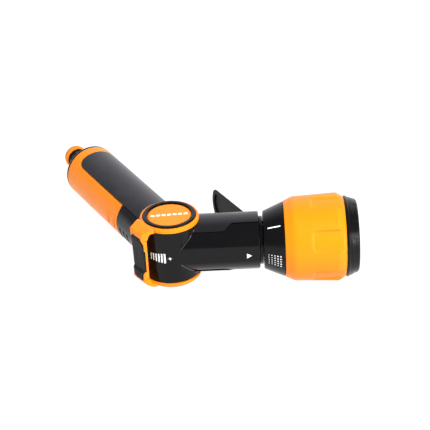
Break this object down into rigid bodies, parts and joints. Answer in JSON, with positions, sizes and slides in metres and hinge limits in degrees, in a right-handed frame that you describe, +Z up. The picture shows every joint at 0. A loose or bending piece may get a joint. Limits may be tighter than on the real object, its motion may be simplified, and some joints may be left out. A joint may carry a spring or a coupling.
{
  "type": "hose spray nozzle",
  "caption": "Pistol-grip garden hose spray nozzle with a drum flow valve, front trigger, turning multi-pattern head and quick-fit hose connector.",
  "frame": {"origin": "centre of the bounding box at the level it lies on", "axes": "+X towards the spray face as the nozzle lies on its side, +Y towards the hose connector, +Z up"},
  "size_m": [0.2078, 0.1672, 0.0593],
  "materials": {
    "orange_plastic": "satin moulded orange plastic",
    "black_gloss_plastic": "glossy black plastic",
    "black_satin_plastic": "satin black plastic",
    "soft_grip": "satin soft-touch black",
    "rubber": "matte black rubber",
    "inner_plastic": "plain moulded dark plastic",
    "face_plastic": "plain dark grey plastic",
    "steel": "bright stainless steel",
    "brass": "turned brass"
  },
  "bodies": {
    "housing": {"main_housing": "black_gloss_plastic", "barrel_cover": "black_satin_plastic", "grip_overmold": "soft_grip", "handle_back_cover": "orange_plastic", "end_cap": "black_gloss_plastic", "hose_connector": "black_gloss_plastic", "connector_collar": "orange_plastic", "connector_tip_seal": "rubber", "water_tube": "inner_plastic", "inlet_filter": "steel", "trigger_pin": "steel", "valve_sleeve": "inner_plastic", "valve_seat": "brass", "valve_spring": "steel", "stem_ring_rear": "rubber", "stem_ring_front": "rubber", "head_spigot": "black_gloss_plastic", "head_seal": "rubber", "selector_disc": "inner_plastic", "selector_seal": "rubber"},
    "flow_control": {"flow_rotor": "inner_plastic", "flow_yoke": "orange_plastic", "thumb_pad": "rubber", "upper_hub": "black_gloss_plastic", "lower_hub": "black_gloss_plastic", "upper_cap_disc": "orange_plastic", "lower_cap_disc": "orange_plastic", "upper_hub_screw": "steel", "lower_hub_screw": "steel", "upper_rotor_seal": "rubber", "lower_rotor_seal": "rubber"},
    "trigger": {"trigger": "black_satin_plastic"},
    "valve": {"valve_stem": "brass", "stem_seal": "rubber"},
    "spray_head": {"head_cone": "black_gloss_plastic", "head_bezel": "orange_plastic", "front_ring": "black_gloss_plastic", "pattern_core": "inner_plastic", "spray_face": "face_plastic", "head_screw": "steel", "detent_ball": "steel", "detent_spring": "steel"}
  },
  "joints": [
    {"name": "flow_lever_turn", "type": "hinge", "parent": "housing", "child": "flow_control", "pos_m": [-0.02312, -0.05357, 0.02461], "axis": [-0.0478, 0.0231, 0.9986], "range_deg": [0, 48]},
    {"name": "trigger_pull", "type": "hinge", "parent": "housing", "child": "trigger", "pos_m": [0.02584, -0.04208, 0.02668], "axis": [-0.0478, 0.0231, 0.9986], "range_deg": [0, 18], "stiffness_Nm_per_rad": 0.4, "springref_deg": -17.19},
    {"name": "valve_slide", "type": "slide", "parent": "housing", "child": "valve", "axis": [0.9989, 0, 0.0478], "range_m": [0, 0.0042], "deforming": ["valve_spring"]},
    {"name": "head_spin", "type": "hinge", "parent": "housing", "child": "spray_head", "pos_m": [-0.02312, -0.05357, 0.02461], "axis": [0.9989, 0, 0.0478], "continuous": true}
  ],
  "couplings": [
    {"joint": "trigger_pull", "follows": "valve_slide", "rad_per_m": 74.07}
  ]
}
